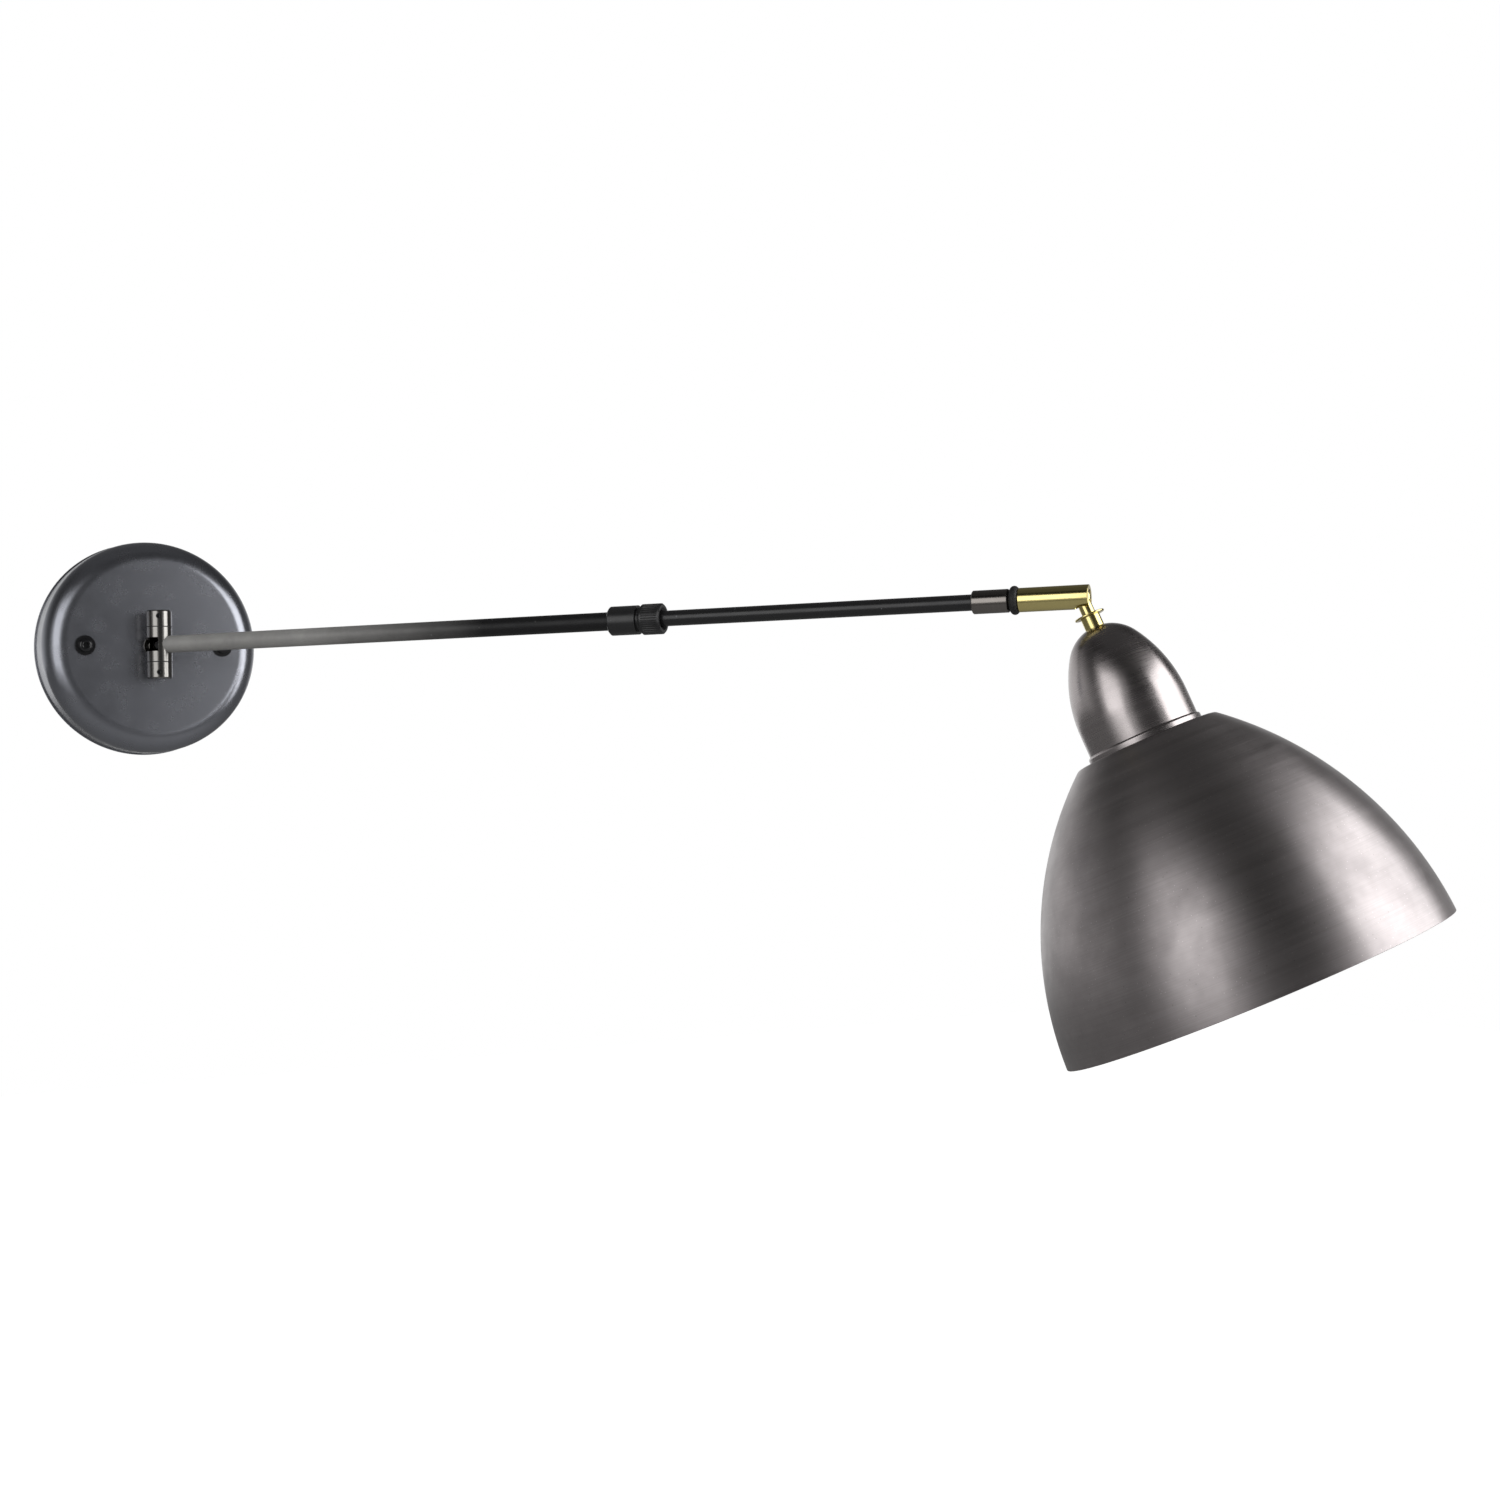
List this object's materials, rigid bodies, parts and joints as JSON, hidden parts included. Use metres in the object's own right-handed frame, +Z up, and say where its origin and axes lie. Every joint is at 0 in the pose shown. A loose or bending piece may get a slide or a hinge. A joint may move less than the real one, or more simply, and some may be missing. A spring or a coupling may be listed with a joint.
{
  "type": "articulating wall lamp",
  "caption": "Wall lamp with a round canopy, swinging telescopic arm with twist lock, brass ball swivel and a bell-shaped metal shade on a rounded cup.",
  "frame": {"origin": "centre of the canopy's wall face, midway between the two wall screw slots", "axes": "+Z up; the wall is the plane y = 0 and the lamp stands out of it towards -Y; the wall face's outward normal is +Y; the arm is shown swung to the right, towards +X"},
  "size_m": [0.5535, 0.5666, 0.2845],
  "materials": {
    "zinc_steel": "satin zinc",
    "canopy_lacquer": "satin lacquer",
    "black_steel": "blackened gloss",
    "white_nylon": "matt",
    "nickel_steel": "nickel plated",
    "gunmetal": "polished gunmetal",
    "black_nylon": "matt",
    "lead_sheath": "matt",
    "brass": "turned",
    "grey_tube": "matt lacquer",
    "black_satin": "black satin",
    "black_satin_tube": "black satin",
    "dark_bronze": "burnished dark bronze",
    "black_rubber": "matt",
    "polished_brass": "polished",
    "pewter_cup": "polished dark pewter",
    "pewter_shade": "brushed dark pewter",
    "black_bakelite": "moulded",
    "white_ceramic": "satin",
    "nickel_brass": "nickel plated"
  },
  "bodies": {
    "wall_mount": {"wall_plate": "zinc_steel", "pillars": "zinc_steel", "canopy": "canopy_lacquer", "canopy_screws": "black_steel", "terminal_block": "white_nylon", "terminal_screws": "nickel_steel", "earth_washer": "nickel_steel", "earth_screw": "nickel_steel", "stem": "gunmetal", "stem_washer": "zinc_steel", "stem_nut": "zinc_steel", "hinge_axle": "gunmetal", "hinge_cap_upper": "gunmetal", "hinge_cap_lower": "gunmetal", "cap_grub_screw_upper": "black_steel", "cap_grub_screw_lower": "black_steel", "hinge_washer_upper": "black_nylon", "hinge_washer_lower": "black_nylon", "mains_lead": "lead_sheath"},
    "outer_arm": {"hinge_sleeve": "gunmetal", "arm_nipple": "brass", "outer_tube": "grey_tube", "clamp_collar": "black_satin", "clamp_collet": "black_nylon", "arm_lead": "lead_sheath"},
    "lock_ring": {"lock_ring": "black_satin"},
    "inner_arm": {"inner_tube": "black_satin_tube", "guide_bush": "black_nylon", "ferrule": "dark_bronze", "tube_lead": "lead_sheath"},
    "swivel": {"swivel_plug": "brass", "retaining_clip": "nickel_steel", "friction_ring": "black_rubber", "swivel_housing": "polished_brass", "ball_follower": "black_nylon", "disc_springs": "nickel_steel", "swivel_lead": "lead_sheath"},
    "head": {"ball_stem": "polished_brass", "stem_flange": "polished_brass", "cup_bush": "polished_brass", "cup_washer": "nickel_steel", "cup_nut": "nickel_steel", "cup": "pewter_cup", "shade": "pewter_shade", "lampholder_cap": "black_bakelite", "lampholder_body": "white_ceramic", "socket_shell": "nickel_brass", "centre_contact": "nickel_brass", "shade_ring": "black_bakelite", "head_lead": "lead_sheath"}
  },
  "joints": [
    {"name": "arm_swing", "type": "hinge", "parent": "wall_mount", "child": "outer_arm", "pos_m": [0, -0.039, 0], "axis": [0, 0, 1], "range_deg": [-122.2, 37.8]},
    {"name": "lock_ring_turn", "type": "hinge", "parent": "outer_arm", "child": "lock_ring", "pos_m": [0.19749, -0.2568, 0], "axis": [0.6717, -0.7408, 0], "range_deg": [0, 270]},
    {"name": "arm_slide", "type": "slide", "parent": "outer_arm", "child": "inner_arm", "axis": [0.6717, -0.7408, 0], "range_m": [-0.15, 0.04]},
    {"name": "head_roll", "type": "hinge", "parent": "inner_arm", "child": "swivel", "pos_m": [0.34513, -0.41963, 0], "axis": [0.6717, -0.7408, 0], "range_deg": [-165, 165]},
    {"name": "head_tilt", "type": "hinge", "parent": "swivel", "child": "head", "pos_m": [0.34513, -0.41963, 0], "axis": [0.7406, 0.6715, 0.0262], "range_deg": [-67.6, 22.4]}
  ]
}
